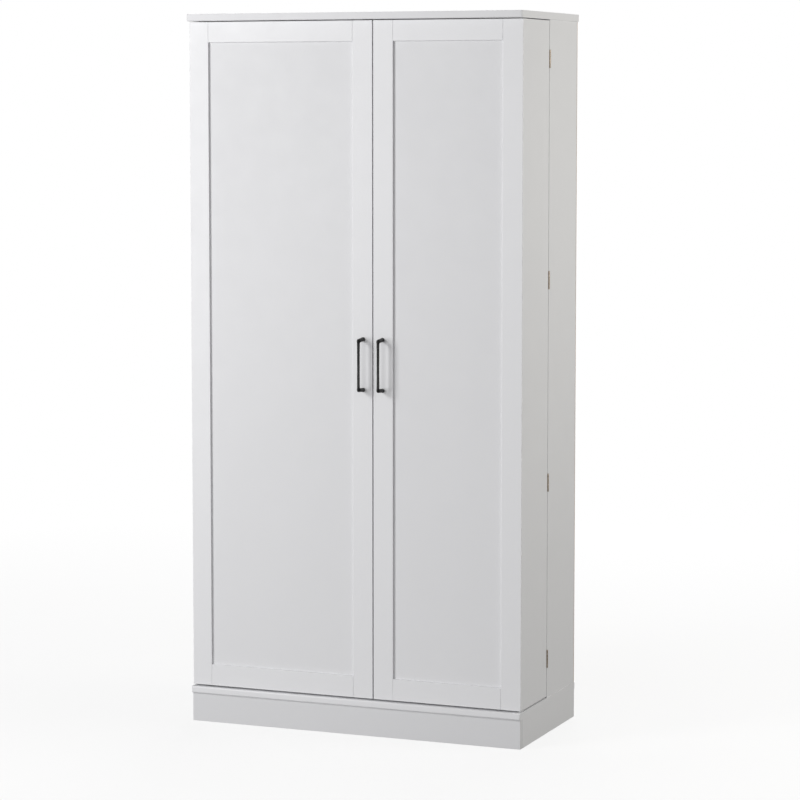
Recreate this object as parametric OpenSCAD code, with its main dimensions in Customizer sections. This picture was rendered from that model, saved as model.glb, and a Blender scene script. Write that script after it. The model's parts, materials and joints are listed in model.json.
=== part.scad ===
// Tall two-door pantry cabinet. The front half of its depth is two swing-out
// door boxes with their own shelves; the rear half is a shelved carcass.
// Units are millimetres. X is the width, Y runs from front to back, Z is up.
// The origin is on the floor, in the middle of the overall width and depth.

/* [Cabinet] */
// Height from the floor to the top of the lid
total_h = 1829; // [1700:1:1950]
// Width across the outer side faces
body_w = 905; // [840:1:980]
// Depth from the door faces to the rear edge of the lid
body_d = 414; // [390:1:450]
// Share of the width that the left door takes
left_share = 0.56; // [0.5:0.01:0.58]
// Share of the depth that the door boxes take
door_share = 0.47; // [0.45:0.01:0.49]

/* [Boards] */
// Thickness of side panels, shelves and box boards
board_t = 16; // [15:0.5:17]
// Thickness of the lid, the base board and the fixed shelf
slab_t = 18; // [17:0.5:20]
// Thickness of the door frames and the front plinth board
frame_t = 18; // [16:0.5:20]
// Thickness of the recessed door panels
panel_t = 12; // [10:0.5:14]
// Thickness of the hardboard back
back_t = 3; // [3:0.5:4]
// How far the lid stands out in front of the doors
lid_front = 13; // [8:1:18]
// How far the lid stands out at each side
lid_side = 3; // [2:0.5:6]
// How far the base board stands out in front of the doors
base_front = 10; // [6:1:14]
// How far the base board stands out at each side
base_side = 1; // [0:0.5:3]

/* [Plinth] */
// Height of the plinth
plinth_h = 74; // [60:1:90]
// How far the plinth stands out in front of the doors
plinth_front_out = 3.5; // [0:0.5:4]

/* [Doors] */
// Gap between the doors
door_gap = 3; // [2:0.5:4]
// Gap between the doors and the lid
door_top_gap = 2; // [1.5:0.5:4]
// Gap between the doors and the base board
door_bottom_gap = 4; // [2:0.5:5]
// Width of the upright stiles
stile_w = 53; // [48:1:60]
// Height of the top rails
top_rail_h = 52; // [46:1:60]
// Height of the bottom rails
bottom_rail_h = 55; // [48:1:64]
// Height of the guard rails on the door shelves
guard_h = 45; // [35:1:55]

/* [Handles] */
// Distance between the two screws of a handle
handle_cc = 128; // [96:32:160]
// Height of the middle of the handles above the floor
handle_z = 948; // [850:1:1050]
// Distance from the door face to the middle of the bar
handle_out = 30; // [26:1:34]
// Radius of the bar
bar_r = 3.6; // [3:0.1:4]
// Radius of the two legs
leg_r = 5; // [4.5:0.1:5.5]

/* [Hinges] */
// Height of each hinge barrel
hinge_h = 44; // [40:1:50]
// Radius of the hinge barrels
knuckle_r = 2.3; // [2.2:0.1:2.6]
// Radius of the hinge pins
pin_r = 1.2; // [1:0.05:1.3]
// Distance from the side face out to the pin's axis
pin_out = 1; // [0.8:0.1:1.5]

/* [Hidden] */
$fn = 48;

LEFT = -1;
RIGHT = 1;
PAINT = "whitesmoke";
INSIDE = "white";
BOARD = "gainsboro";
STEEL = "silver";
BRONZE = "rosybrown";
BLACK = "black";
TIMBER = "burlywood";
// A cut runs this far past the face it opens through
over = 1;
// Radial room around a fastener, and the room left at the end of its hole
fit = 0.1;
end_gap = 0.5;

// Overall frame
half_w = body_w / 2;
// Angle of the handles' legs to the door's normal
leg_lean = 4;
// How far the legs end in front of the bar, and the rounding of their ends
leg_proud = 0.3;
leg_end_r = 3;
leg_l = handle_out / cos(leg_lean) + bar_r + leg_proud;
handle_reach = (leg_l - leg_end_r) * cos(leg_lean) + (leg_r - leg_end_r) * sin(leg_lean) + leg_end_r;
face_y = (handle_reach - body_d) / 2;
rear_y = face_y + body_d;
seam_y = face_y + body_d * door_share;
leaf_t = 1;
leaf_gap = 0.4;
seam_half = leaf_t + leaf_gap / 2;

// Radius of the front corners of the lid and the base board, seen from above
lid_corner_r = 7;
base_corner_r = 3;

// Heights
base_top = plinth_h + slab_t;
lid_z = total_h - slab_t;
door_z0 = base_top + door_bottom_gap;
door_z1 = lid_z - door_top_gap;

// Carcass, behind the seam
carcass_y0 = seam_y + seam_half;
back_recess = 2;
back_y0 = rear_y - back_recess - back_t;
fixed_z = (base_top + lid_z - slab_t) / 2;
shelf_bay = (fixed_z - base_top - 2 * board_t) / 3;
shelf_count = 4;
shelf_setback = 8;
shelf_play = 1;
shelf_back_gap = 1.5;
fastener_inset = 45;
fastener_ys = [carcass_y0 + fastener_inset, back_y0 - fastener_inset];

// Shelf pins and their holes; each pin has this many spare holes above and below
pin_hole_r = 2.5;
pin_hole_depth = 9;
pin_hole_pitch = 32;
pin_spares = 2;
pin_drop = 4;
pin_front_inset = 32;
pin_rear_inset = 28;
pin_ys = [carcass_y0 + pin_front_inset, back_y0 - pin_rear_inset];

// Screws that come up through the base board into the side panels
base_screw_r = 2;
base_screw_l = 45;
base_screw_room = 5;
base_head_r = 4;
base_head_h = 3;

// Cam fittings
cam_r = 7.4;
cam_h = 12;
cam_set = 34;
dowel_r = 3.4;
thread_r = 2.5;
thread_l = 11;
// A dowel's head stops this far short of its cam's axis
dowel_short = 2.5;

// Plinth, and the wooden pegs between it and the base board
plinth_y0 = face_y - plinth_front_out;
plinth_y1 = plinth_y0 + frame_t;
plinth_back_y = rear_y - board_t;
peg_r = 4;
peg_up = 12;
peg_down = 18;
peg_xs = [-300, -100, 100, 300];
peg_seam_offset = 60;
peg_side_y = seam_y - peg_seam_offset;

// Hardboard back and the strip that joins its halves
joiner_web = 1;
back_screw_r = 1.5;
back_screw_l = 15;
back_head_r = 3;
back_head_h = 1.2;
back_screw_rows = 7;
back_screw_inset = 60;

// Anti-tip brackets under the lid
bracket_w = 25;
bracket_leg = 28;
bracket_t = 2;
bracket_x = 330;
anchor_r = 2.75;
anchor_drop = 16;
bracket_screw_r = 1.8;
bracket_screw_l = 13;
bracket_head_r = 3.6;
bracket_head_h = 2;

// Doors, in a frame that starts at each outer side face and runs inward
door_shelf_count = 3;
seam_x = body_w * left_share - half_w;
left_w = half_w + seam_x - door_gap / 2;
right_w = half_w - seam_x - door_gap / 2;
box_y0 = face_y + frame_t;
box_y1 = seam_y - seam_half;
rebate_w = 8;
dado = 5;
box_z0 = door_z0 + board_t;
box_z1 = door_z1 - board_t;
door_bay = (box_z1 - box_z0 - door_shelf_count * board_t) / (door_shelf_count + 1);
guard_t = 10;
guard_inset = 4;

// Hinges
hinge_zs = [193.5, 646, 1159.5, 1713.5];
knuckles = 5;
knuckle_pitch = hinge_h / knuckles;
knuckle_play = 0.15;
knuckle_clear = 0.4;
pin_fit = 0.05;
relief_r = knuckle_r + 0.5;
relief_l = hinge_h + 4;
leaf_edge = 1.5;
leaf_w = board_t - leaf_edge;
pin_extra = 0.4;
pin_head_r = 1.9;
pin_head_h = 0.8;
screw_head_r = 2.5;
screw_r = 1.4;
screw_l = 14;
leaf_screw_shift = 1;
leaf_screw_u = board_t / 2 + leaf_screw_shift;
leaf_screw_dz = 13;

// Catch: magnets in the fixed shelf, strike plates on the doors
magnet_r = 4.9;
magnet_l = 12;
magnet_proud = 0.8;
magnet_gap = 0.2;
strike_w = 13;
strike_h = 40;
strike_t = 1;
strike_screw_dz = 14;
catch_z = fixed_z + slab_t / 2;
catch_off = door_gap / 2 + board_t / 2;

// Handles
handle_inset = stile_w / 2 - door_gap / 2;
foot_r = 5.4;
foot_h = 1.5;
handle_screw_r = 2;
handle_screw_play = 0.25;
handle_screw_gap = 2;
handle_screw_head_r = 4;
handle_screw_head_h = 2.5;
handle_bore_depth = 12;

// Height of the underside of adjustable shelf number i, counted from 0
function shelf_z(i) =
    (i < 2 ? base_top : fixed_z + slab_t) + (i % 2 + 1) * shelf_bay + (i % 2) * board_t;
// Height of the underside of a door shelf, counted from 0
function door_shelf_z(i) = box_z0 + (i + 1) * door_bay + i * board_t;
function door_w(hand) = hand == LEFT ? left_w : right_w;

// A board between two opposite corners
module board(low, high) {
    translate(low) cube(high - low);
}

// Puts a door's or a side panel's local frame at its outer side face
module at_side(hand) {
    if (hand == LEFT) translate([-half_w, 0, 0]) children();
    else translate([half_w, 0, 0]) mirror([1, 0, 0]) children();
}

// A rod along X, Y or Z, starting at a point
module rod_x(p, r, l) {
    translate(p) rotate([0, 90, 0]) cylinder(r = r, h = l);
}
module rod_y(p, r, l) {
    translate(p) rotate([-90, 0, 0]) cylinder(r = r, h = l);
}
module rod_z(p, r, l) {
    translate(p) cylinder(r = r, h = l);
}

// The area outside a quarter circle, for rounding a corner at the origin
// whose material lies towards +X and +Y
module corner_cut(r) {
    difference() {
        translate([-over, -over]) square(r + over);
        translate([r, r]) circle(r = r);
    }
}

// ---- Lid, base and plinth ----

module top_panel() {
    front = -lid_front;
    nose_r = 3;
    ease_r = 1.5;
    color(PAINT) difference() {
        translate([-half_w - lid_side, face_y, lid_z])
            rotate([90, 0, 90])
                linear_extrude(body_w + 2 * lid_side) difference() {
                    translate([front, 0]) square([body_d + lid_front, slab_t]);
                    translate([front, 0]) corner_cut(nose_r);
                    translate([front, slab_t]) mirror([0, 1]) corner_cut(ease_r);
                }
        for (hand = [LEFT, RIGHT]) at_side(hand) {
            translate([-lid_side, face_y - lid_front, lid_z - over])
                linear_extrude(slab_t + 2 * over) corner_cut(lid_corner_r);
            for (y = fastener_ys)
                rod_z([board_t / 2, y, lid_z - over], thread_r + fit, thread_l + over);
        }
        for (x = [-bracket_x, bracket_x])
            rod_z([x, back_y0 - anchor_drop, lid_z - over], bracket_screw_r + fit, bracket_screw_l);
    }
}

module base_panel() {
    nose_r = 4.5;
    color(PAINT) difference() {
        translate([-half_w - base_side, face_y - base_front, plinth_h])
            rotate([90, 0, 90]) linear_extrude(body_w + 2 * base_side) difference() {
                square([body_d + base_front, slab_t]);
                corner_cut(nose_r);
                translate([0, slab_t]) mirror([0, 1]) corner_cut(nose_r);
            }
        for (hand = [LEFT, RIGHT]) at_side(hand) {
            translate([-base_side, face_y - base_front, plinth_h - over])
                linear_extrude(slab_t + 2 * over) corner_cut(base_corner_r);
            for (y = fastener_ys) {
                rod_z([board_t / 2, y, plinth_h - over], base_screw_r + fit, slab_t + 2 * over);
                rod_z([board_t / 2, y, plinth_h - over], base_head_r + fit, base_head_h + fit + over);
            }
        }
        pegs(fit);
    }
}

module plinth_board(low, high) {
    color(PAINT) difference() {
        board(low, high);
        pegs(fit);
    }
}

module plinth_front() {
    plinth_board([-half_w, plinth_y0, 0], [half_w, plinth_y1, plinth_h]);
}
module plinth_side(hand) {
    color(PAINT) difference() {
        at_side(hand) board([0, plinth_y1, 0], [board_t, rear_y, plinth_h]);
        pegs(fit);
    }
}
module plinth_back() {
    plinth_board([-half_w + board_t, plinth_back_y, 0], [half_w - board_t, rear_y, plinth_h]);
}
module plinth_brace() {
    plinth_board([-board_t / 2, plinth_y1, 0], [board_t / 2, plinth_back_y, plinth_h]);
}

// Wooden pegs; with a clearance they are the holes that hold them
module pegs(clear = 0) {
    low = plinth_h - peg_down - clear;
    length = peg_down + peg_up + 2 * clear;
    for (x = peg_xs) {
        rod_z([x, plinth_y0 + frame_t / 2, low], peg_r + clear, length);
        rod_z([x, rear_y - board_t / 2, low], peg_r + clear, length);
    }
    for (x = [-half_w + board_t / 2, 0, half_w - board_t / 2])
        rod_z([x, peg_side_y, low], peg_r + clear, length);
}
module wood_dowels() {
    color(TIMBER) pegs();
}

// ---- Carcass ----

module side_panel(hand) {
    inner = board_t - pin_hole_depth;
    mid_z = fixed_z + slab_t / 2;
    color(PAINT) at_side(hand) difference() {
        board([0, carcass_y0, base_top], [board_t, back_y0, lid_z]);
        for (i = [0:shelf_count - 1], n = [-pin_spares:pin_spares], y = pin_ys)
            rod_x([inner, y, shelf_z(i) - pin_drop + n * pin_hole_pitch],
                  pin_hole_r, pin_hole_depth + over);
        for (y = fastener_ys) {
            rod_x([board_t - cam_h - end_gap, y, lid_z - cam_set], cam_r + fit, cam_h + over);
            rod_z([board_t / 2, y, lid_z - cam_set], dowel_r + fit, cam_set + over);
            rod_x([board_t - thread_l, y, mid_z], thread_r + fit, thread_l + over);
            rod_z([board_t / 2, y, base_top - over], base_screw_r + fit,
                  base_screw_l - slab_t + base_screw_room);
        }
        for (z = back_screw_zs())
            rod_y([board_t / 2, back_y0 - back_screw_l, z], back_screw_r + fit, back_screw_l + over);
        for (z = hinge_zs) {
            rod_z([-pin_out, seam_y, z - relief_l / 2], relief_r, relief_l);
            for (s = [-1, 1])
                rod_y([leaf_screw_u, carcass_y0 - over, z + s * leaf_screw_dz],
                      screw_r + fit, screw_l + 2 * over);
        }
    }
}

module back_panel(hand) {
    inner_x = joiner_web / 2;
    color(BOARD) difference() {
        if (hand == LEFT) board([-half_w, back_y0, base_top], [-inner_x, back_y0 + back_t, lid_z]);
        else board([inner_x, back_y0, base_top], [half_w, back_y0 + back_t, lid_z]);
        for (x = [-bracket_x, bracket_x])
            rod_y([x, back_y0 - over, lid_z - anchor_drop], anchor_r, back_t + 2 * over);
        for (p = back_screw_points())
            rod_y([p[0], back_y0 - over, p[1]], back_screw_r + fit, back_t + 2 * over);
    }
}

// Where the screws of the back go, as [x, z]
function back_screw_zs() = [
    for (n = [0:back_screw_rows - 1])
        base_top + back_screw_inset
            + n * (lid_z - base_top - 2 * back_screw_inset) / (back_screw_rows - 1)
];
function back_screw_points() = [
    for (s = [-1, 1], z = back_screw_zs()) [s * (half_w - board_t / 2), z]
];

// Plastic strip with an H section that joins the two halves of the back
module back_joiner() {
    flange = 10;
    lip = 1;
    color(INSIDE) {
        board([-joiner_web / 2, back_y0 - lip, base_top], [joiner_web / 2, back_y0 + back_t + lip, lid_z]);
        for (y = [back_y0 - lip, back_y0 + back_t])
            board([-flange, y, base_top], [flange, y + lip, lid_z]);
    }
}

module fixed_shelf() {
    mid_z = fixed_z + slab_t / 2;
    color(INSIDE) difference() {
        board([-half_w + board_t, carcass_y0, fixed_z],
              [half_w - board_t, back_y0 - shelf_back_gap, fixed_z + slab_t]);
        for (hand = [LEFT, RIGHT]) at_side(hand) for (y = fastener_ys) {
            rod_z([board_t + cam_set, y, fixed_z - over], cam_r + fit, cam_h + end_gap + over);
            rod_x([board_t - over, y, mid_z], dowel_r + fit, cam_set + over);
        }
        for (s = [-1, 1])
            rod_y([seam_x + s * catch_off, carcass_y0 - over, catch_z],
                  magnet_r + fit, magnet_l + over);
    }
}

module shelf(i) {
    color(INSIDE) board(
        [-half_w + board_t + shelf_play, carcass_y0 + shelf_setback, shelf_z(i)],
        [half_w - board_t - shelf_play, back_y0 - shelf_back_gap, shelf_z(i) + board_t]);
}

// Steel pins with a flat pad that the shelf lies on
module shelf_pins() {
    pad = 8;
    pad_w = 7;
    color(STEEL) for (hand = [LEFT, RIGHT]) at_side(hand) for (i = [0:shelf_count - 1], y = pin_ys) {
        rod_x([board_t - pin_hole_depth + end_gap, y, shelf_z(i) - pin_drop],
              pin_hole_r - fit, pin_hole_depth - end_gap);
        board([board_t, y - pad_w / 2, shelf_z(i) - 2 * pin_drop],
              [board_t + pad, y + pad_w / 2, shelf_z(i)]);
    }
}

// A cam lock, face up at the origin, with a cross slot and a hole for its dowel
module cam(dowel_height) {
    slot_l = 8;
    slot_w = 1.6;
    slot_d = 2.5;
    difference() {
        cylinder(r = cam_r, h = cam_h);
        rod_x([0, 0, dowel_height], dowel_r + fit, cam_r + over);
        for (a = [45, 135]) rotate([0, 0, a])
            translate([-slot_l / 2, -slot_w / 2, -over]) cube([slot_l, slot_w, slot_d + over]);
    }
}
module cam_locks() {
    side_axis = board_t / 2;
    color(STEEL) for (hand = [LEFT, RIGHT]) at_side(hand) for (y = fastener_ys) {
        translate([board_t, y, lid_z - cam_set]) rotate([0, -90, 0]) cam(board_t - side_axis);
        translate([board_t + cam_set, y, fixed_z]) rotate([0, 0, 180]) cam(slab_t / 2);
    }
}

// Steel dowels that the cams pull on
module cam_dowels() {
    mid_z = fixed_z + slab_t / 2;
    shank = cam_set - dowel_short;
    thread = thread_l - end_gap;
    color(STEEL) for (hand = [LEFT, RIGHT]) at_side(hand) for (y = fastener_ys) {
        rod_z([board_t / 2, y, lid_z - shank], dowel_r, shank);
        rod_z([board_t / 2, y, lid_z], thread_r, thread);
        rod_x([board_t, y, mid_z], dowel_r, shank);
        rod_x([board_t - thread, y, mid_z], thread_r, thread);
    }
}

// Steel angles inside, under the lid, that hold the cabinet to a wall
module wall_brackets() {
    color(STEEL) for (x = [-bracket_x, bracket_x]) difference() {
        union() {
            board([x - bracket_w / 2, back_y0 - bracket_leg, lid_z - bracket_t],
                  [x + bracket_w / 2, back_y0, lid_z]);
            board([x - bracket_w / 2, back_y0 - bracket_t, lid_z - bracket_leg],
                  [x + bracket_w / 2, back_y0, lid_z - bracket_t]);
        }
        rod_y([x, back_y0 - bracket_t - over, lid_z - anchor_drop], anchor_r, bracket_t + 2 * over);
        rod_z([x, back_y0 - anchor_drop, lid_z - bracket_t - over],
              bracket_screw_r + fit, bracket_t + 2 * over);
    }
}

// A countersunk screw at the origin, driven towards +Z, with its head's face at z = 0
module screw(length = screw_l) {
    cylinder(r1 = screw_head_r, r2 = screw_r, h = leaf_t);
    translate([0, 0, leaf_t]) cylinder(r = screw_r, h = length - leaf_t);
}
module screw_cut() {
    translate([0, 0, -fit]) cylinder(r1 = screw_head_r + 2 * fit, r2 = screw_r + fit, h = leaf_t + 2 * fit);
}

module carcass_screws() {
    color(STEEL) {
        for (hand = [LEFT, RIGHT]) at_side(hand) {
            for (z = hinge_zs, s = [-1, 1])
                translate([leaf_screw_u, carcass_y0 - leaf_t, z + s * leaf_screw_dz])
                    rotate([-90, 0, 0]) screw();
            for (y = fastener_ys) {
                rod_z([board_t / 2, y, plinth_h], base_head_r, base_head_h);
                rod_z([board_t / 2, y, plinth_h + base_head_h], base_screw_r, base_screw_l - base_head_h);
            }
        }
        for (x = [-bracket_x, bracket_x]) {
            rod_z([x, back_y0 - anchor_drop, lid_z - bracket_t - bracket_head_h],
                  bracket_head_r, bracket_head_h);
            rod_z([x, back_y0 - anchor_drop, lid_z - bracket_t], bracket_screw_r, bracket_screw_l);
        }
        for (p = back_screw_points()) {
            rod_y([p[0], back_y0 + back_t, p[1]], back_head_r, back_head_h);
            rod_y([p[0], back_y0 + back_t - back_screw_l, p[1]], back_screw_r, back_screw_l);
        }
    }
}

module catch_magnets() {
    color(STEEL) for (s = [-1, 1])
        rod_y([seam_x + s * catch_off, carcass_y0 - magnet_proud, catch_z],
              magnet_r, magnet_l + magnet_proud - magnet_gap);
}

// ---- Hinges ----

// One leaf with its knuckles, flat in XZ. side is +1 for the carcass leaf and
// -1 for the door leaf; the carcass leaf has the odd knuckles.
module hinge_leaf(side) {
    owned = side > 0 ? [0, 2, 4] : [1, 3];
    others = side > 0 ? [1, 3] : [0, 2, 4];
    y0 = side > 0 ? leaf_gap / 2 : -leaf_gap / 2 - leaf_t;
    difference() {
        union() {
            translate([0, y0, -hinge_h / 2]) cube([leaf_w + pin_out, leaf_t, hinge_h]);
            for (k = owned) translate([0, 0, k * knuckle_pitch - hinge_h / 2 + knuckle_play])
                cylinder(r = knuckle_r, h = knuckle_pitch - 2 * knuckle_play);
        }
        for (k = others)
            translate([-over, -knuckle_r - over, k * knuckle_pitch - hinge_h / 2 - knuckle_play])
                cube([knuckle_r + over + knuckle_clear, 2 * (knuckle_r + over),
                      knuckle_pitch + 2 * knuckle_play]);
        translate([0, 0, -hinge_h / 2 - over]) cylinder(r = pin_r + pin_fit, h = hinge_h + 2 * over);
        for (s = [-1, 1])
            translate([leaf_screw_u + pin_out, side > 0 ? y0 : y0 + leaf_t, s * leaf_screw_dz])
                rotate([side > 0 ? -90 : 90, 0, 0]) screw_cut();
    }
}
module hinge_leaves(hand, side) {
    color(BRONZE) at_side(hand) for (z = hinge_zs)
        translate([-pin_out, seam_y, z]) hinge_leaf(side);
}
module carcass_hinge_leaves() {
    hinge_leaves(LEFT, 1);
    hinge_leaves(RIGHT, 1);
}
module hinge_pins() {
    length = hinge_h + pin_extra;
    color(BRONZE) for (hand = [LEFT, RIGHT]) at_side(hand) for (z = hinge_zs)
        translate([-pin_out, seam_y, z]) {
            translate([0, 0, -length / 2]) cylinder(r = pin_r, h = length);
            for (s = [-1, 1]) translate([0, 0, s * (length + pin_head_h) / 2])
                cylinder(r = pin_head_r, h = pin_head_h, center = true);
        }
}

// ---- Door frames and panels ----

module outer_stile(hand) {
    color(PAINT) at_side(hand) difference() {
        board([0, face_y, door_z0], [stile_w, box_y0, door_z1]);
        panel_rebate(hand);
    }
}
module inner_stile(hand) {
    w = door_w(hand);
    color(PAINT) at_side(hand) difference() {
        board([w - stile_w, face_y, door_z0], [w, box_y0, door_z1]);
        panel_rebate(hand);
        for (s = [-1, 1])
            rod_y([w - handle_inset, face_y - over, handle_z + s * handle_cc / 2],
                  handle_screw_r + handle_screw_play, frame_t + 2 * over);
    }
}
module top_rail(hand) {
    color(PAINT) at_side(hand) difference() {
        board([stile_w, face_y, door_z1 - top_rail_h], [door_w(hand) - stile_w, box_y0, door_z1]);
        panel_rebate(hand);
    }
}
module bottom_rail(hand) {
    color(PAINT) at_side(hand) difference() {
        board([stile_w, face_y, door_z0], [door_w(hand) - stile_w, box_y0, door_z0 + bottom_rail_h]);
        panel_rebate(hand);
    }
}

// The seat that the frame's rear edge has for the recessed panel
module panel_rebate(hand) {
    board([stile_w - rebate_w, box_y0 - panel_t, door_z0 + bottom_rail_h - rebate_w],
          [door_w(hand) - stile_w + rebate_w, box_y0 + over, door_z1 - top_rail_h + rebate_w]);
}
module front_panel(hand) {
    play = 0.5;
    edge = rebate_w - play;
    color(PAINT) at_side(hand) board(
        [stile_w - edge, box_y0 - panel_t, door_z0 + bottom_rail_h - edge],
        [door_w(hand) - stile_w + edge, box_y0, door_z1 - top_rail_h + edge]);
}

// ---- Door boxes ----

// The undersides of everything that spans a door box, lowest first
function cross_zs() = concat(door_z0, [for (i = [0:door_shelf_count - 1]) door_shelf_z(i)], box_z1);

// The grooves in a box side that hold the box's top, bottom and shelves
module dados(u) {
    for (z = cross_zs())
        board([u, box_y0 - over, z], [u + dado, box_y1 + over, z + board_t]);
}
module outer_side(hand) {
    color(PAINT) at_side(hand) difference() {
        board([0, box_y0, door_z0], [board_t, box_y1, door_z1]);
        dados(board_t - dado);
        for (z = hinge_zs) {
            rod_z([-pin_out, seam_y, z - relief_l / 2], relief_r, relief_l);
            for (s = [-1, 1])
                rod_y([leaf_screw_u, box_y1 - screw_l - over, z + s * leaf_screw_dz],
                      screw_r + fit, screw_l + 2 * over);
        }
    }
}
module inner_side(hand) {
    w = door_w(hand);
    color(INSIDE) at_side(hand) difference() {
        board([w - board_t, box_y0, door_z0], [w, box_y1, door_z1]);
        dados(w - board_t);
        for (s = [-1, 1])
            rod_y([w - board_t / 2, box_y1 - screw_l - over, catch_z + s * strike_screw_dz],
                  screw_r + fit, screw_l + 2 * over);
    }
}

// A board that spans the box and sits in the grooves of both sides
module cross_board(hand, z) {
    color(INSIDE) at_side(hand)
        board([board_t - dado, box_y0, z], [door_w(hand) - board_t + dado, box_y1, z + board_t]);
}
module box_top(hand) {
    cross_board(hand, box_z1);
}
module box_bottom(hand) {
    cross_board(hand, door_z0);
}
module door_shelf(hand, i) {
    cross_board(hand, door_shelf_z(i));
}

// Low rails that keep things on the shelves while the door swings
module guard_rails(hand) {
    levels = concat([box_z0], [for (i = [0:door_shelf_count - 1]) door_shelf_z(i) + board_t]);
    y1 = box_y1 - guard_inset;
    color(INSIDE) at_side(hand) for (z = levels)
        board([board_t, y1 - guard_t, z], [door_w(hand) - board_t, y1, z + guard_h]);
}

// Steel plate that the magnet holds, on the rear edge of the inner side
module strike_plate(hand) {
    u = door_w(hand) - board_t / 2;
    color(STEEL) at_side(hand) difference() {
        board([u - strike_w / 2, box_y1, catch_z - strike_h / 2],
              [u + strike_w / 2, box_y1 + strike_t, catch_z + strike_h / 2]);
        for (s = [-1, 1]) translate([u, box_y1 + strike_t, catch_z + s * strike_screw_dz])
            rotate([90, 0, 0]) screw_cut();
    }
}

// Screws of the hinge leaves, the strike plate and the handle
module door_screws(hand) {
    w = door_w(hand);
    handle_screw_in = handle_bore_depth - handle_screw_gap;
    color(STEEL) at_side(hand) {
        for (z = hinge_zs, s = [-1, 1])
            translate([leaf_screw_u, box_y1 + leaf_t, z + s * leaf_screw_dz])
                rotate([90, 0, 0]) screw();
        for (s = [-1, 1]) {
            translate([w - board_t / 2, box_y1 + strike_t, catch_z + s * strike_screw_dz])
                rotate([90, 0, 0]) screw();
            rod_y([w - handle_inset, box_y0, handle_z + s * handle_cc / 2],
                  handle_screw_head_r, handle_screw_head_h);
            rod_y([w - handle_inset, face_y - handle_screw_in, handle_z + s * handle_cc / 2],
                  handle_screw_r, frame_t + handle_screw_in);
        }
    }
}

// ---- Handles ----

// Bow handle with its feet in the XZ plane, reaching towards -Y
module handle_body() {
    bar_end_z = handle_cc / 2 - handle_out * tan(leg_lean);
    difference() {
        union() {
            translate([0, -handle_out, -bar_end_z]) cylinder(r = bar_r, h = 2 * bar_end_z);
            for (s = [0, 1]) mirror([0, 0, s]) translate([0, 0, handle_cc / 2]) {
                rotate([90, 0, 0]) cylinder(r = foot_r, h = foot_h);
                rotate([90 + leg_lean, 0, 0]) handle_leg();
            }
        }
        for (s = [-1, 1]) rod_y([0, -handle_bore_depth, s * handle_cc / 2],
                                handle_screw_r + fit, handle_bore_depth + over);
    }
}

// A leg along Z, which starts inside its foot and has a rounded end
module handle_leg() {
    start = foot_h / 2;
    rotate_extrude() difference() {
        translate([0, start]) square([leg_r, leg_l - start]);
        translate([leg_r, leg_l]) rotate(180) corner_cut(leg_end_r);
    }
}
module handle(hand) {
    color(BLACK) at_side(hand)
        translate([door_w(hand) - handle_inset, face_y, handle_z]) handle_body();
}

top_panel();
base_panel();
plinth_front();
plinth_side(LEFT);  // plinth_left
plinth_side(RIGHT);  // plinth_right
plinth_back();
plinth_brace();
side_panel(LEFT);  // side_panel_left
side_panel(RIGHT);  // side_panel_right
back_panel(LEFT);  // back_panel_left
back_panel(RIGHT);  // back_panel_right
back_joiner();
fixed_shelf();
shelf(0);  // shelf_1
shelf(1);  // shelf_2
shelf(2);  // shelf_3
shelf(3);  // shelf_4
shelf_pins();
cam_locks();
cam_dowels();
wood_dowels();
wall_brackets();
carcass_screws();
carcass_hinge_leaves();
hinge_pins();
catch_magnets();
for (door = [["left", LEFT], ["right", RIGHT]]) {
    outer_stile(door[1]);
    inner_stile(door[1]);
    top_rail(door[1]);
    bottom_rail(door[1]);
    front_panel(door[1]);
    outer_side(door[1]);
    inner_side(door[1]);
    box_top(door[1]);
    box_bottom(door[1]);
    for (i = [0:door_shelf_count - 1])
        door_shelf(door[1], i);
    guard_rails(door[1]);
    hinge_leaves(door[1], -1);
    door_screws(door[1]);
    strike_plate(door[1]);
    handle(door[1]);
}
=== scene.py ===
"""Looks of the pantry cabinet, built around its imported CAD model."""
import json
import math

import bmesh
import bpy
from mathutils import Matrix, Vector


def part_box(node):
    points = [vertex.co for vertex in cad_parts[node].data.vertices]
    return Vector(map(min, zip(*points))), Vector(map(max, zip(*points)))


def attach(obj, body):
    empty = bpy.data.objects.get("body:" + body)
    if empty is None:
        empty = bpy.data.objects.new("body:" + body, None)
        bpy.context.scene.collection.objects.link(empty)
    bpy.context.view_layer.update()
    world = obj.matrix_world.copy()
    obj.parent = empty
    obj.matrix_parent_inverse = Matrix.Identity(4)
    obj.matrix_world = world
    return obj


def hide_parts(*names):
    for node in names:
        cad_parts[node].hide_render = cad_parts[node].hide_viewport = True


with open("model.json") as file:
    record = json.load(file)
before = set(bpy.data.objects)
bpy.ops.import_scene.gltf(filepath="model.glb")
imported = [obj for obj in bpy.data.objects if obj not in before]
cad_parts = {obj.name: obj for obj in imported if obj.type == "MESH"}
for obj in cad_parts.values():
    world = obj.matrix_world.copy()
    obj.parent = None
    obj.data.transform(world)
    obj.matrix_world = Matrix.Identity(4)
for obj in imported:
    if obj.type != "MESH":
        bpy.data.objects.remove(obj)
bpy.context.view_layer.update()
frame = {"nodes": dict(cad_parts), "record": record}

MM = 0.001
NODES = frame["nodes"]
SLOT_OF = {s["node"]: s["material_slot"] for s in frame["record"]["subparts"]}
HANDS = ("left", "right")
# Points nearer than this are one point
WELD_DISTANCE = 0.005 * MM
# Flat faces may differ by this much and still be joined
FLAT_ANGLE = math.radians(0.5)
# Edges sharper than these are bevelled on fittings, and drawn sharp on new pieces
FITTING_ANGLE = math.radians(40)
SMOOTH_ANGLE = math.radians(35)


# ---- Materials ----

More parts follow.
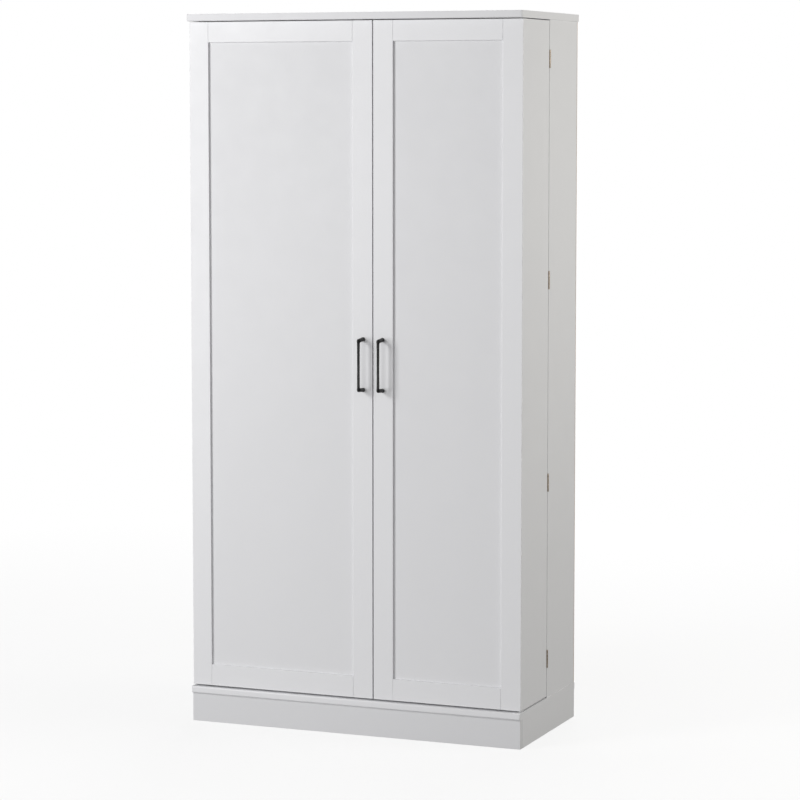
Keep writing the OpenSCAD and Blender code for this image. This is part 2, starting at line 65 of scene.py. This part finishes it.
class Shader:
    """A principled material while its node tree is built. Its textures use the row frame, in metres."""

    def __init__(self, name, color, **sockets):
        """Sockets are given by their own names, such as specular_ior_level."""
        self.mat = bpy.data.materials.new(name)
        self.mat.use_nodes = True
        self.tree = self.mat.node_tree
        self.bsdf = next(n for n in self.tree.nodes if n.type == "BSDF_PRINCIPLED")
        self.bsdf.inputs["Base Color"].default_value = (*color, 1)
        self.mat.diffuse_color = (*color, 1)
        for socket, value in sockets.items():
            label = socket.replace("_", " ").title().replace("Ior", "IOR")
            self.bsdf.inputs[label].default_value = value
        self.coords = self.node("ShaderNodeTexCoord").outputs["Object"]
        self.normal = None

    def node(self, kind, **values):
        made = self.tree.nodes.new(kind)
        for key, value in values.items():
            setattr(made, key, value)
        return made

    def put(self, socket, value):
        """Gives a socket a link or a plain value."""
        if isinstance(value, bpy.types.NodeSocket):
            self.tree.links.new(value, socket)
        else:
            socket.default_value = value

    def stretched(self, factors):
        """The object coordinates, multiplied axis by axis."""
        mapping = self.node("ShaderNodeMapping")
        mapping.inputs["Scale"].default_value = factors
        self.put(mapping.inputs["Vector"], self.coords)
        return mapping.outputs["Vector"]

    def noise(self, scale, detail=2.0, roughness=0.5, vector=None):
        made = self.node("ShaderNodeTexNoise")
        made.inputs["Scale"].default_value = scale
        made.inputs["Detail"].default_value = detail
        made.inputs["Roughness"].default_value = roughness
        self.put(made.inputs["Vector"], vector or self.coords)
        return made.outputs["Fac"]

    def cells(self, scale):
        """Soft rounded cells."""
        made = self.node("ShaderNodeTexVoronoi", feature="SMOOTH_F1")
        made.inputs["Scale"].default_value = scale
        self.put(made.inputs["Vector"], self.coords)
        return made.outputs["Distance"]

    def waves(self, scale, direction):
        """Straight ridges, one after the other along an axis."""
        made = self.node("ShaderNodeTexWave", bands_direction=direction)
        made.inputs["Scale"].default_value = scale
        self.put(made.inputs["Vector"], self.coords)
        return made.outputs["Fac"]

    def span(self, value, low, high, to_low=0.0, to_high=1.0):
        """value, carried from low..high to to_low..to_high and kept inside."""
        made = self.node("ShaderNodeMapRange")
        limits = {"From Min": low, "From Max": high, "To Min": to_low, "To Max": to_high}
        for socket, number in limits.items():
            made.inputs[socket].default_value = number
        self.put(made.inputs["Value"], value)
        return made.outputs["Result"]

    def math(self, operation, a, b):
        made = self.node("ShaderNodeMath", operation=operation)
        self.put(made.inputs[0], a)
        self.put(made.inputs[1], b)
        return made.outputs["Value"]

    def mix(self, factor, a, b):
        """The colour a where factor is 0 and b where it is 1."""
        made = self.node("ShaderNodeMix", data_type="RGBA")
        self.put(made.inputs["Factor"], factor)
        for socket, value in zip(("A", "B"), (a, b)):
            target = next(i for i in made.inputs if i.name == socket and i.type == "RGBA")
            self.put(target, value if isinstance(value, bpy.types.NodeSocket) else (*value, 1))
        return next(o for o in made.outputs if o.type == "RGBA")

    def worn_edge(self, radius):
        """1 on sharp edges, 0 on flat faces."""
        bevel = self.node("ShaderNodeBevel", samples=4)
        bevel.inputs["Radius"].default_value = radius
        flat = self.node("ShaderNodeNewGeometry")
        dot = self.node("ShaderNodeVectorMath", operation="DOT_PRODUCT")
        self.put(dot.inputs[0], bevel.outputs["Normal"])
        self.put(dot.inputs[1], flat.outputs["Normal"])
        return self.span(dot.outputs["Value"], 0.995, 0.93)

    def color(self, value):
        self.put(self.bsdf.inputs["Base Color"], value)

    def rough(self, value):
        self.put(self.bsdf.inputs["Roughness"], value)

    def bump(self, height, strength, distance):
        made = self.node("ShaderNodeBump")
        made.inputs["Strength"].default_value = strength
        made.inputs["Distance"].default_value = distance
        self.put(made.inputs["Height"], height)
        if self.normal:
            self.put(made.inputs["Normal"], self.normal)
        self.normal = made.outputs["Normal"]
        self.put(self.bsdf.inputs["Normal"], self.normal)


def shade(color, factor):
    """The colour made darker or lighter."""
    return tuple(c * factor for c in color)


def paint(name, color, low_rough, high_rough, peel):
    """Sprayed satin paint on smooth fibreboard: cloudy sheen, fine orange peel and faint handling marks."""
    s = Shader(name, color, roughness=(low_rough + high_rough) / 2)
    clouds = s.span(s.noise(scale=1.7, detail=3), low=0.35, high=0.65)
    handled = s.span(s.noise(scale=9, detail=4, roughness=0.6), low=0.55, high=0.8, to_high=0.12)
    sheen = s.noise(scale=24, detail=4, roughness=0.6)
    orange_peel = s.noise(scale=420, detail=2, roughness=0.45)
    tone = s.mix(clouds, shade(color, 0.992), shade(color, 1.008))
    s.color(s.mix(handled, tone, shade(color, 0.965)))
    s.rough(s.span(sheen, low=0.3, high=0.7, to_low=low_rough, to_high=high_rough))
    s.bump(orange_peel, strength=peel, distance=0.3 * MM)
    s.bump(s.noise(scale=38), strength=peel, distance=0.6 * MM)
    return s.mat


def white_melamine():
    """Melamine facing with a faint pearl, a little cooler and glossier than the paint."""
    s = Shader("white_melamine", (0.83, 0.83, 0.822), roughness=0.34)
    pearl = s.span(s.noise(scale=2.2), low=0.35, high=0.65)
    s.color(s.mix(pearl, (0.822, 0.822, 0.813), (0.838, 0.838, 0.832)))
    s.rough(s.span(s.noise(scale=60, detail=3), low=0.3, high=0.7, to_low=0.30, to_high=0.40))
    s.bump(s.cells(scale=620), strength=0.12, distance=0.2 * MM)
    return s.mat


def back_board():
    """Hardboard: a white foil inside, bare brown fibres with a screen print outside."""
    s = Shader("back_board", (0.42, 0.30, 0.19), roughness=0.7)
    low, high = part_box("back_panel_left")
    split = s.node("ShaderNodeSeparateXYZ")
    s.put(split.inputs[0], s.coords)
    # The foil gives way to bare fibres between these two depths
    outside = s.span(split.outputs["Y"], low=low.y + 0.2 * MM, high=low.y + 0.4 * MM)
    fibre = s.noise(scale=260, detail=4, roughness=0.7, vector=s.stretched((1.0, 1.0, 0.35)))
    specks = s.span(s.noise(scale=900, detail=3, roughness=0.7), low=0.52, high=0.72)
    brown = s.mix(s.span(fibre, low=0.35, high=0.65), (0.36, 0.245, 0.145), (0.475, 0.345, 0.22))
    brown = s.mix(s.math("MULTIPLY", specks, 0.55), brown, (0.20, 0.125, 0.07))
    s.color(s.mix(outside, (0.82, 0.818, 0.805), brown))
    s.rough(s.span(outside, low=0, high=1, to_low=0.42, to_high=0.82))
    screen = s.math("MULTIPLY", s.waves(scale=420, direction="X"), s.waves(scale=420, direction="Z"))
    s.bump(s.math("MULTIPLY", screen, outside), strength=0.35, distance=0.3 * MM)
    s.bump(fibre, strength=0.12, distance=0.3 * MM)
    return s.mat


def white_plastic():
    """Extruded strip: fine lines along Z."""
    s = Shader("white_plastic", (0.80, 0.80, 0.79), roughness=0.45)
    lines = s.noise(scale=700, vector=s.stretched((1.0, 1.0, 0.02)))
    s.color(s.mix(s.span(lines, low=0.3, high=0.7), (0.785, 0.785, 0.775), (0.815, 0.815, 0.807)))
    s.rough(s.span(lines, low=0.3, high=0.7, to_low=0.38, to_high=0.5))
    s.bump(lines, strength=0.08, distance=0.2 * MM)
    return s.mat


def plated(name, bright, dull, edge, roughness):
    """Plated steel: cloudy dull patches, fine scratches and brighter worn edges."""
    s = Shader(name, bright, metallic=1.0, roughness=roughness)
    cloud = s.noise(scale=190, detail=4, roughness=0.6)
    scratches = s.noise(scale=1500, roughness=0.6, vector=s.stretched((1.0, 1.0, 0.08)))
    tone = s.mix(s.span(cloud, low=0.38, high=0.66), bright, dull)
    s.color(s.mix(s.worn_edge(radius=0.35 * MM), tone, edge))
    s.rough(s.span(cloud, low=0.3, high=0.7, to_low=roughness - 0.06, to_high=roughness + 0.12))
    s.bump(scratches, strength=0.08, distance=0.1 * MM)
    return s.mat


def beech():
    """Turned beech peg with its flecks along Z."""
    s = Shader("beech", (0.62, 0.42, 0.25), roughness=0.6)
    grain = s.noise(scale=520, detail=4, roughness=0.6, vector=s.stretched((1.0, 1.0, 0.06)))
    s.color(s.mix(s.span(grain, low=0.35, high=0.65), (0.52, 0.34, 0.19), (0.68, 0.48, 0.30)))
    s.bump(grain, strength=0.2, distance=0.2 * MM)
    return s.mat


def black_metal():
    """Satin powder coat: fine pebbled skin, slightly polished where hands reach."""
    s = Shader("black_metal", (0.004, 0.004, 0.0045), roughness=0.38, specular_ior_level=0.28)
    cloud = s.noise(scale=60, detail=3)
    tone = s.mix(s.span(cloud, low=0.3, high=0.7), (0.003, 0.003, 0.0035), (0.006, 0.006, 0.0065))
    s.color(s.mix(s.worn_edge(radius=0.5 * MM), tone, (0.018, 0.017, 0.016)))
    s.rough(s.span(cloud, low=0.3, high=0.7, to_low=0.32, to_high=0.46))
    s.bump(s.noise(scale=1600), strength=0.12, distance=0.1 * MM)
    return s.mat


WHITE = (0.812, 0.812, 0.828)
FINISH = {
    "white_paint": paint("white_paint", WHITE, low_rough=0.36, high_rough=0.48, peel=0.10),
    "white_melamine": white_melamine(),
    "back_board": back_board(),
    "white_plastic": white_plastic(),
    "zinc_steel": plated("zinc_steel", bright=(0.62, 0.63, 0.64), dull=(0.47, 0.48, 0.50),
                         edge=(0.75, 0.76, 0.77), roughness=0.34),
    "magnet_plate": plated("magnet_plate", bright=(0.60, 0.60, 0.62), dull=(0.48, 0.48, 0.50),
                           edge=(0.72, 0.72, 0.74), roughness=0.26),
    "beech": beech(),
    "bronzed_steel": plated("bronzed_steel", bright=(0.50, 0.42, 0.34), dull=(0.34, 0.27, 0.21),
                            edge=(0.66, 0.57, 0.46), roughness=0.42),
    "black_metal": black_metal(),
}

# Painted shade: darker copies of the white paint, with a duller sheen, stand in for the shade on the
# recessed door panels, on the lid's front and on the plinth under the base board's nose: how much darker,
# and which boards
SHADED_PAINTS = {
    "panel_shaded_paint": (0.955, ("left_front_panel", "right_front_panel")),
    "lid_shaded_paint": (0.96, ("top_panel",)),
    "plinth_shaded_paint": (0.90, ("plinth_front",)),
}
SHADED_FINISH = {}
for paint_name, (depth, boards) in SHADED_PAINTS.items():
    # Painted shade: a darker, duller copy of the white paint for these shaded boards
    shaded_copy = paint(paint_name, shade(WHITE, depth), low_rough=0.52, high_rough=0.64, peel=0.08)
    SHADED_FINISH.update({board: shaded_copy for board in boards})
for name, obj in NODES.items():
    obj.data.materials.clear()
    obj.data.materials.append(SHADED_FINISH.get(name, FINISH[SLOT_OF[name]]))


# ---- Eased edges of the CAD boards ----

# Ordinary edges, seams that stay almost closed, edges beside a panel, and the outer corners of the doors
BOARD_EASE = 0.5 * MM
FLUSH_EASE = 0.1 * MM
PANEL_EASE = 1.0 * MM
CORNER_EASE = 1.6 * MM
# The fine joint line between a stile and a rail
JOINT_STEP = 0.8 * MM
# A point nearer than this to a face lies on it
ON_FACE = 0.02 * MM


def box_faces(point, low, high):
    """Which faces of a box a point lies on, such as {"x-", "z+"}."""
    found = set()
    for axis, letter in enumerate("xyz"):
        if abs(point[axis] - low[axis]) < ON_FACE:
            found.add(letter + "-")
        if abs(point[axis] - high[axis]) < ON_FACE:
            found.add(letter + "+")
    return found


def add_weld(obj):
    weld = obj.modifiers.new("weld", "WELD")
    weld.merge_threshold = WELD_DISTANCE


def merge_faces(obj):
    """Joins the triangles of every flat face, so that a bevel meets clean corners."""
    flat = obj.modifiers.new("flat", "DECIMATE")
    flat.decimate_type = "DISSOLVE"
    flat.angle_limit = FLAT_ANGLE


def add_bevel(obj, width, segments, **limits):
    bevel = obj.modifiers.new("ease", "BEVEL")
    bevel.width = width
    bevel.segments = segments
    bevel.use_clamp_overlap = False
    bevel.harden_normals = True
    for key, value in limits.items():
        setattr(bevel, key, value)


def ease_board(name, width, special=None, stepped=()):
    """Rounds the box edges of a board. special gives other widths for edges named by their two faces.

    The edges in stepped get a small square rebate instead, which shows as a fine dark joint line.
    """
    mesh = NODES[name].data
    low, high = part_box(name)
    widths = {frozenset(k.split()): v for k, v in (special or {}).items()}
    steps = {frozenset(k.split()) for k in stepped}
    widest = max([width, *widths.values()])
    on = [box_faces(v.co, low, high) for v in mesh.vertices]
    rounding = mesh.attributes.new("bevel_weight_edge", "FLOAT", "EDGE")
    rebate = mesh.attributes.new("rebate_weight", "FLOAT", "EDGE")
    for edge in mesh.edges:
        shared = frozenset(on[edge.vertices[0]] & on[edge.vertices[1]])
        if shared in steps:
            rebate.data[edge.index].value = 1
        elif len(shared) == 2:
            rounding.data[edge.index].value = widths.get(shared, width) / widest
    add_weld(NODES[name])
    merge_faces(NODES[name])
    if steps:
        add_bevel(NODES[name], JOINT_STEP, segments=2, limit_method="WEIGHT", edge_weight="rebate_weight",
                  profile=0, harden_normals=False)
    add_bevel(NODES[name], widest, segments=3, limit_method="WEIGHT")


def ease_fitting(name, width, segments=2):
    add_weld(NODES[name])
    add_bevel(NODES[name], width, segments, limit_method="ANGLE", angle_limit=FITTING_ANGLE)


for name in ("plinth_left", "plinth_right", "plinth_back", "plinth_brace"):
    ease_board(name, FLUSH_EASE)
ease_board("plinth_front", 0.8 * MM, {"x- z+": FLUSH_EASE, "x+ z+": FLUSH_EASE})
for name in ("side_panel_left", "side_panel_right"):
    ease_board(name, BOARD_EASE, {"x- z-": FLUSH_EASE, "x+ z-": FLUSH_EASE,
                                  "x- z+": FLUSH_EASE, "x+ z+": FLUSH_EASE})
for name in ("fixed_shelf", "shelf_1", "shelf_2", "shelf_3", "shelf_4"):
    ease_board(name, BOARD_EASE)
for hand in HANDS:
    outer = "x-" if hand == "left" else "x+"
    inner = "x+" if hand == "left" else "x-"
    ease_board(f"{hand}_outer_stile", BOARD_EASE,
               {f"{outer} y-": CORNER_EASE, f"{outer} y+": FLUSH_EASE, f"{inner} y-": PANEL_EASE})
    ease_board(f"{hand}_inner_stile", BOARD_EASE,
               {f"{inner} y+": FLUSH_EASE, f"{outer} y-": PANEL_EASE})
    for rail, panel_edge in (("top_rail", "y- z-"), ("bottom_rail", "y- z+")):
        ease_board(f"{hand}_{rail}", BOARD_EASE, {panel_edge: PANEL_EASE}, stepped=("x- y-", "x+ y-"))
    ease_board(f"{hand}_outer_side", BOARD_EASE, {f"{outer} y-": FLUSH_EASE})
    ease_board(f"{hand}_inner_side", BOARD_EASE, {f"{inner} y-": FLUSH_EASE})
    for board in ("box_top", "box_bottom", "door_shelf_1", "door_shelf_2", "door_shelf_3"):
        ease_board(f"{hand}_{board}", 0.3 * MM)
    ease_fitting(f"{hand}_guard_rails", 1.2 * MM, segments=3)
    ease_fitting(f"{hand}_strike_plate", 0.15 * MM)
    ease_fitting(f"{hand}_hinge_leaves", 0.12 * MM)
FITTING_EASE = {
    "top_panel": 0.6 * MM,
    "base_panel": 0.3 * MM,
    "wall_brackets": 0.25 * MM,
    "shelf_pins": 0.3 * MM,
    "cam_locks": 0.2 * MM,
    "carcass_hinge_leaves": 0.12 * MM,
    "hinge_pins": 0.2 * MM,
    "catch_magnets": 0.2 * MM,
}
for name, width in FITTING_EASE.items():
    ease_fitting(name, width)


# ---- New pieces ----

def add_piece(name, mesh_maker, body, slot):
    """A mesh piece that rides on a body and wears a slot's finish."""
    mesh = bpy.data.meshes.new(name)
    bm = bmesh.new()
    mesh_maker(bm)
    bmesh.ops.recalc_face_normals(bm, faces=bm.faces)
    bm.to_mesh(mesh)
    bm.free()
    mesh.shade_smooth()
    mesh.set_sharp_from_angle(angle=SMOOTH_ANGLE)
    piece = bpy.data.objects.new(name, mesh)
    bpy.context.scene.collection.objects.link(piece)
    mesh.materials.append(FINISH[slot])
    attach(piece, body)
    return piece


def tube(bm, stations, sides):
    """A closed tube through its stations, each (centre, up, half size along up, half width in X)."""
    across = Vector((1, 0, 0))
    angles = [math.tau * k / sides for k in range(sides)]
    rings = [[bm.verts.new(centre + half_width * math.cos(a) * across + half_up * math.sin(a) * up)
              for a in angles] for centre, up, half_up, half_width in stations]
    for one, two in zip(rings, rings[1:]):
        for k in range(sides):
            j = (k + 1) % sides
            bm.faces.new((one[k], one[j], two[j], two[k]))
    bm.faces.new(rings[0])
    bm.faces.new(rings[-1])


# The bow handles: a straight bar between two legs that lean inwards a little from their feet
HANDLE_SIDES = 40
BAR_R = 3.6 * MM
LEG_R = 5.0 * MM
FOOT_R = 5.4 * MM
FOOT_H = 1.5 * MM
FOOT_EASE = 0.3 * MM
LEG_LEAN = math.radians(4)
LEG_STEPS = 12
# The leg narrows to its own radius, and reaches its full lean, this far from the foot
NECK_LENGTH = 2.5 * MM
LEAN_LENGTH = 4 * MM
# The elbow bulges this far beyond the bar's face
ELBOW_PROUD = 0.44 * MM
ELBOW_STEPS = 16
INNER_FILLET = 2.4 * MM
# 2 would give a round outer corner; a larger power gives a squarer one
CORNER_POWER = 4.2


def half_handle(foot_z, out):
    """From a foot to the bar: (distance out, height, section angle, half size along it, half width)."""
    made = [(0.0, foot_z, 0.0, FOOT_R - FOOT_EASE, FOOT_R - FOOT_EASE),
            (FOOT_EASE, foot_z, 0.0, FOOT_R, FOOT_R),
            (FOOT_H, foot_z, 0.0, FOOT_R, FOOT_R)]
    # The leg's axis ends where the pivot of the elbow's sections is square to it
    pivot_out = out - BAR_R - INNER_FILLET
    to_pivot = LEG_R + INNER_FILLET
    axis_end = pivot_out + to_pivot * math.sin(LEG_LEAN)
    pivot_z = foot_z - axis_end * math.tan(LEG_LEAN) - to_pivot * math.cos(LEG_LEAN)
    for k in range(1, LEG_STEPS + 1):
        d = FOOT_H + (axis_end - FOOT_H) * k / LEG_STEPS
        neck = max(0.0, 1 - (d - FOOT_H) / NECK_LENGTH) ** 2 * (FOOT_R - LEG_R)
        lean = LEG_LEAN * min(1.0, d / LEAN_LENGTH)
        made.append((d, foot_z - d * math.tan(LEG_LEAN), lean, LEG_R + neck, LEG_R + neck))
    wide, narrow = 2 * LEG_R + INNER_FILLET, 2 * BAR_R + INNER_FILLET
    for k in range(1, ELBOW_STEPS + 1):
        t = k / ELBOW_STEPS
        turn = t * math.pi / 2
        outer = ((math.cos(turn) / wide) ** CORNER_POWER
                 + (math.sin(turn) / narrow) ** CORNER_POWER) ** (-1 / CORNER_POWER)
        a = LEG_LEAN + (math.pi / 2 - LEG_LEAN) * t
        centre = (outer + INNER_FILLET) / 2
        ease = t * t * (3 - 2 * t)
        made.append((pivot_out + centre * math.sin(a), pivot_z + centre * math.cos(a), a,
                     (outer - INNER_FILLET) / 2, LEG_R + (BAR_R - LEG_R) * ease))
    return made


def handle_stations(node):
    """The stations of a bow handle, from its upper foot over the bar to its lower foot."""
    low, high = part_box(node)
    x = (low.x + high.x) / 2
    middle = (low.z + high.z) / 2
    face = high.y
    half = half_handle((high.z - low.z) / 2 - FOOT_R, face - low.y - BAR_R - ELBOW_PROUD)
    stations = []
    for sign in (1, -1):
        side = []
        for d, z, a, half_up, half_width in half:
            up = Vector((0, -math.sin(a), sign * math.cos(a))) * sign
            side.append((Vector((x, face - d, middle + sign * z)), up, half_up, half_width))
        stations += side if sign > 0 else side[::-1]
    return stations


for hand in HANDS:
    node = f"{hand}_handle"
    handle = add_piece(f"{hand}_bow_handle", lambda bm: tube(bm, handle_stations(node), HANDLE_SIDES),
                       f"{hand}_door", SLOT_OF[node])
    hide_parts(node)


SCREW_SIDES = 32
# Each screw stops this many radians further round than the one before
SCREW_TURN = 2.4
HEAD_EASE = 0.15 * MM
# The tip, as shares of the shank's radius
TIP_LENGTH, TIP_RADIUS = 2.0, 0.2
# The cross recess, as shares of the head's radius, and how much smaller its floor is
CROSS_ARM, CROSS_HALF, CROSS_DEPTH = 0.62, 0.14, 0.42
CROSS_TAPER = 0.7
# Points nearer to a screw's axis than this don't belong to its outline, in mm
ON_AXIS = 0.2


def solids(mesh):
    """The separate solids of a mesh, as lists of points."""
    bm = bmesh.new()
    bm.from_mesh(mesh)
    bmesh.ops.remove_doubles(bm, verts=bm.verts, dist=WELD_DISTANCE)
    seen, found = set(), []
    for first in bm.verts:
        if first in seen:
            continue
        seen.add(first)
        stack, points = [first], []
        while stack:
            vert = stack.pop()
            points.append(vert.co.copy())
            for edge in vert.link_edges:
                other = edge.other_vert(vert)
                if other not in seen:
                    seen.add(other)
                    stack.append(other)
        found.append(points)
    bm.free()
    return found


def screw_profile(points):
    """Of a plain screw: the middle of its head, the way into the wood, and its (depth, radius) outline."""
    low = Vector([min(p[i] for p in points) for i in range(3)])
    high = Vector([max(p[i] for p in points) for i in range(3)])
    along = max(range(3), key=lambda i: high[i] - low[i])
    axis = Vector([float(i == along) for i in range(3)])
    middle = (low + high) / 2
    radii = {}
    for p in points:
        from_middle = p - middle
        height = round((p[along] - low[along]) / MM, 2)
        radii.setdefault(height, set()).add(round((from_middle - axis * from_middle[along]).length / MM, 2))
    if max(radii[min(radii)]) > max(radii[max(radii)]):
        start, into = low, axis
    else:
        start, into = high, -axis
    head = middle + axis * (start[along] - middle[along])
    length = max(radii)
    outline = [((height if into[along] > 0 else length - height) * MM, r * MM)
               for height, rs in radii.items() for r in rs if r > ON_AXIS]
    return head, into, sorted(outline, key=lambda point: (point[0], -point[1]))


def cross_outline(reach, half):
    """The corners of a cross with four equal arms, in order round it."""
    quarter = [(half, half), (half, reach), (-half, reach)]
    made = []
    for _ in range(4):
        made += quarter
        quarter = [(-y, x) for x, y in quarter]
    return made


def screw(bm, points, turn):
    """A turned screw with a tapered tip and a cross recess in its head."""
    head, into, outline = screw_profile(points)
    side = into.orthogonal().normalized()
    across = into.cross(side)
    radius = outline[0][1]
    # A cylindrical head gets an eased rim; a countersunk one is flush and stays sharp
    if outline[1][1] == radius:
        outline[:1] = [(0.0, radius - HEAD_EASE), (HEAD_EASE, radius)]
    end, shank = outline[-1]
    outline[-1:] = [(end - TIP_LENGTH * shank, shank), (end, TIP_RADIUS * shank)]

    def ring(depth, corners):
        return [bm.verts.new(head + into * depth + side * x + across * y) for x, y in corners]

    angles = [math.tau * k / SCREW_SIDES for k in range(SCREW_SIDES)]
    rings = [ring(depth, [(r * math.cos(a), r * math.sin(a)) for a in angles]) for depth, r in outline]
    turned = [(x * math.cos(turn) - y * math.sin(turn), x * math.sin(turn) + y * math.cos(turn))
              for x, y in cross_outline(CROSS_ARM * radius, CROSS_HALF * radius)]
    rim = ring(0.0, turned)
    floor = ring(CROSS_DEPTH * radius, [(x * CROSS_TAPER, y * CROSS_TAPER) for x, y in turned])
    for one, two in [*zip(rings, rings[1:]), (rim, floor)]:
        for k in range(len(one)):
            j = (k + 1) % len(one)
            bm.faces.new((one[k], one[j], two[j], two[k]))
    bm.faces.new(rings[-1])
    bm.faces.new(floor)
    edges = [bm.edges.get((loop[k - 1], loop[k])) for loop in (rings[0], rim) for k in range(len(loop))]
    bmesh.ops.triangle_fill(bm, use_beauty=True, edges=edges)


def screws(bm, node):
    for k, points in enumerate(solids(NODES[node].data)):
        screw(bm, points, k * SCREW_TURN)


for node, body in (("carcass_screws", "cabinet"), ("left_door_screws", "left_door"),
                   ("right_door_screws", "right_door")):
    cross_screws = add_piece(node.replace("screws", "cross_screws"), lambda bm: screws(bm, node), body,
                             SLOT_OF[node])
    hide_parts(node)


# ---- Floor, light and camera ----

# The floor fades from one distance to the other, and isn't opaque even in the middle
FLOOR_SOLID = 0.8
FLOOR_EDGE = 3.6
FLOOR_ALPHA = 0.18
FLOOR_SIDES = 96


def floor_finish():
    """Pale studio floor that fades out into the white surround."""
    s = Shader("studio_floor", (0.92, 0.92, 0.92), roughness=0.9)
    s.color(s.mix(s.noise(scale=3, detail=3), (0.915, 0.915, 0.915), (0.925, 0.925, 0.925)))
    radius = s.node("ShaderNodeVectorMath", operation="LENGTH")
    s.put(radius.inputs[0], s.coords)
    fade = s.span(radius.outputs["Value"], low=FLOOR_SOLID, high=FLOOR_EDGE, to_low=FLOOR_ALPHA, to_high=0)
    s.put(s.bsdf.inputs["Alpha"], fade)
    return s.mat


def add_floor():
    mesh = bpy.data.meshes.new("floor")
    bm = bmesh.new()
    bmesh.ops.create_circle(bm, cap_ends=True, radius=FLOOR_EDGE, segments=FLOOR_SIDES)
    bm.to_mesh(mesh)
    bm.free()
    floor = bpy.data.objects.new("floor", mesh)
    bpy.context.scene.collection.objects.link(floor)
    mesh.materials.append(floor_finish())


def add_area_light(name, place, target, size, power, color=(1, 1, 1)):
    light = bpy.data.lights.new(name, "AREA")
    light.color = color
    light.shape = "RECTANGLE"
    light.size, light.size_y = size
    light.energy = power
    lamp = bpy.data.objects.new(name, light)
    lamp.location = place
    lamp.rotation_euler = (Vector(target) - Vector(place)).to_track_quat("-Z", "Y").to_euler()
    bpy.context.scene.collection.objects.link(lamp)


def add_world(seen, lighting):
    """A plain white surround: how bright it looks, and how much light it gives."""
    world = bpy.data.worlds.new("studio")
    world.use_nodes = True
    tree = world.node_tree
    background = next(n for n in tree.nodes if n.type == "BACKGROUND")
    background.inputs["Color"].default_value = (1, 1, 1, 1)
    path = tree.nodes.new("ShaderNodeLightPath")
    span = tree.nodes.new("ShaderNodeMapRange")
    span.inputs["To Min"].default_value = lighting
    span.inputs["To Max"].default_value = seen
    tree.links.new(path.outputs["Is Camera Ray"], span.inputs["Value"])
    tree.links.new(span.outputs["Result"], background.inputs["Strength"])
    bpy.context.scene.world = world


# The photo's view, worked out from the cabinet's straight edges
LENS, SENSOR = 127.76, 36
SHIFT_DOWN = 0.05
CAMERA_PLACE = (2.7930, -6.7446, 1.6114)
LOOKS_DOWN, LOOKS_LEFT = math.radians(5.235), math.radians(22.125)
FAR_CLIP = 200


def add_camera():
    camera = bpy.data.cameras.new("camera")
    camera.lens = LENS
    camera.sensor_width = SENSOR
    camera.shift_y = -SHIFT_DOWN
    camera.clip_end = FAR_CLIP
    shooter = bpy.data.objects.new("camera", camera)
    shooter.location = CAMERA_PLACE
    shooter.rotation_euler = (math.pi / 2 - LOOKS_DOWN, 0, LOOKS_LEFT)
    bpy.context.scene.collection.objects.link(shooter)
    bpy.context.scene.camera = shooter


add_floor()
add_area_light("key", place=(-2.15, -2.95, 2.4), target=(0, 0, 1.1), size=(1.2, 1.2), power=56)
add_area_light("fill_left", place=(-2.9, -4.0, 0.9), target=(0, 0, 0.8), size=(1.6, 1.6), power=50)
add_area_light("front", place=(-0.3, -6.0, 1.3), target=(0, 0, 0.9), size=(2.4, 1.6), power=60)
add_area_light("side", place=(3.1, 0.4, 1.8), target=(0.45, 0.1, 1.5), size=(1.6, 1.2), power=47,
               color=(1.0, 0.985, 0.93))
add_area_light("top", place=(0, 0.5, 4.2), target=(0, 0.2, 1.8), size=(1.2, 1.2), power=22)
add_area_light("rear", place=(-0.8, 5.2, 1.3), target=(0, 0, 0.9), size=(2.8, 1.7), power=135)
add_world(seen=1.0, lighting=0.2)
add_camera()
bpy.context.scene.view_settings.view_transform = "Standard"
